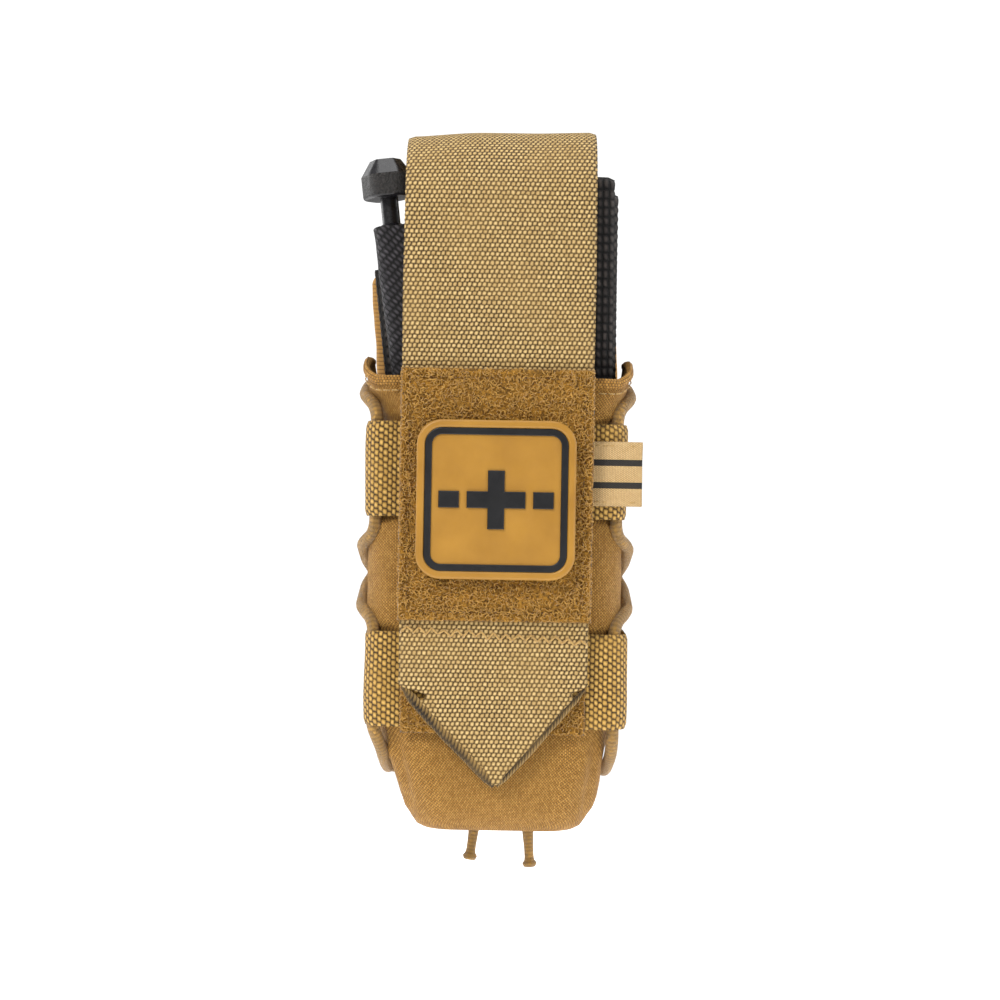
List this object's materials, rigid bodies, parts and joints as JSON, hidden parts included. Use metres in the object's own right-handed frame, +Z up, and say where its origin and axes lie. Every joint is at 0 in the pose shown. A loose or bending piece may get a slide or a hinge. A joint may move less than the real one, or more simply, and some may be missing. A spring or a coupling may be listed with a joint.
{
  "type": "tourniquet in belt pouch",
  "caption": "Folded black windlass tourniquet in a coyote covered belt pouch with a webbing flap, hook-and-loop closure, laced sides and rear webbing straps.",
  "frame": {"origin": "middle of the belt slot between the back panel and the rear straps", "axes": "+Z up, -Y the front that carries the flap and the patch, +X to the right as seen from the front"},
  "size_m": [0.0765, 0.0592, 0.2049],
  "materials": {
    "coyote_webbing": "ribbed nylon webbing",
    "coyote_nylon": "plain-weave coated nylon",
    "coyote_tape": "ribbed edge tape",
    "stiffener_sheet": "matt polymer sheet",
    "loop_pile": "fuzzy loop pile",
    "hook_tape": "moulded hooks",
    "shock_cord": "braided sheath",
    "label_weave": "damask woven label",
    "blackened_metal": "black oxide",
    "coyote_rubber": "soft moulded rubber, satin",
    "black_rubber": "soft moulded rubber, satin",
    "black_webbing": "black nylon webbing",
    "black_plastic": "moulded black plastic"
  },
  "bodies": {
    "pouch": {"front_panel": "coyote_nylon", "front_stiffener": "stiffener_sheet", "mouth_hem_left": "coyote_tape", "mouth_hem_right": "coyote_tape", "drain_grommet": "blackened_metal", "back_panel": "coyote_nylon", "back_stiffener": "stiffener_sheet", "back_binding": "coyote_tape", "upper_side_strap": "coyote_webbing", "lower_side_strap": "coyote_webbing", "front_loop_panel": "loop_pile", "woven_label": "label_weave", "shock_cord_left": "shock_cord", "shock_cord_right": "shock_cord", "cord_ends": "shock_cord", "webbing_row_lower": "coyote_webbing", "webbing_row_upper": "coyote_webbing", "rear_strap_anchors": "coyote_webbing", "snap_studs": "blackened_metal", "flap_root_strap": "coyote_webbing"},
    "flap_top": {"flap_top_strap": "coyote_webbing"},
    "flap_front": {"flap_front_strap": "coyote_webbing", "pull_tab_fold": "coyote_webbing", "flap_hook_panel": "hook_tape", "flap_loop_panel": "loop_pile"},
    "patch": {"patch_hook_backing": "hook_tape", "patch_base": "coyote_rubber", "patch_border": "coyote_rubber", "patch_ring": "black_rubber", "patch_symbol": "black_rubber"},
    "rear_strap_l": {"rear_strap_left": "coyote_webbing", "snap_cap_left": "blackened_metal"},
    "rear_strap_r": {"rear_strap_right": "coyote_webbing", "snap_cap_right": "blackened_metal"},
    "tourniquet": {"windlass_rod": "black_plastic", "windlass_wrap": "black_webbing", "base_plate": "black_plastic", "windlass_clip": "black_plastic", "clip_strap": "black_webbing", "buckle": "black_plastic", "band_tip": "black_webbing", "band_front_folds": "black_webbing", "band_rear_folds": "black_webbing"}
  },
  "joints": [
    {"name": "flap_lift", "type": "hinge", "parent": "pouch", "child": "flap_top", "pos_m": [0, -0.00678, 0.10063], "axis": [-1, 0, 0], "range_deg": [0, 100]},
    {"name": "flap_unfold", "type": "hinge", "parent": "flap_top", "child": "flap_front", "pos_m": [0, -0.04599, 0.0962], "axis": [-1, 0, 0], "range_deg": [0, 90]},
    {"name": "patch_peel", "type": "hinge", "parent": "flap_front", "child": "patch", "pos_m": [0, -0.0512, 0.0281], "axis": [-1, 0, 0], "range_deg": [0, 60]},
    {"name": "rear_strap_left_open", "type": "hinge", "parent": "pouch", "child": "rear_strap_l", "pos_m": [0, -0.0028, 0.044], "axis": [1, 0, 0], "range_deg": [0, 120]},
    {"name": "rear_strap_right_open", "type": "hinge", "parent": "pouch", "child": "rear_strap_r", "pos_m": [0, -0.0028, 0.044], "axis": [1, 0, 0], "range_deg": [0, 120]},
    {"name": "tourniquet_lift", "type": "slide", "parent": "pouch", "child": "tourniquet", "axis": [0, 0, 1], "range_m": [0, 0.004]}
  ]
}
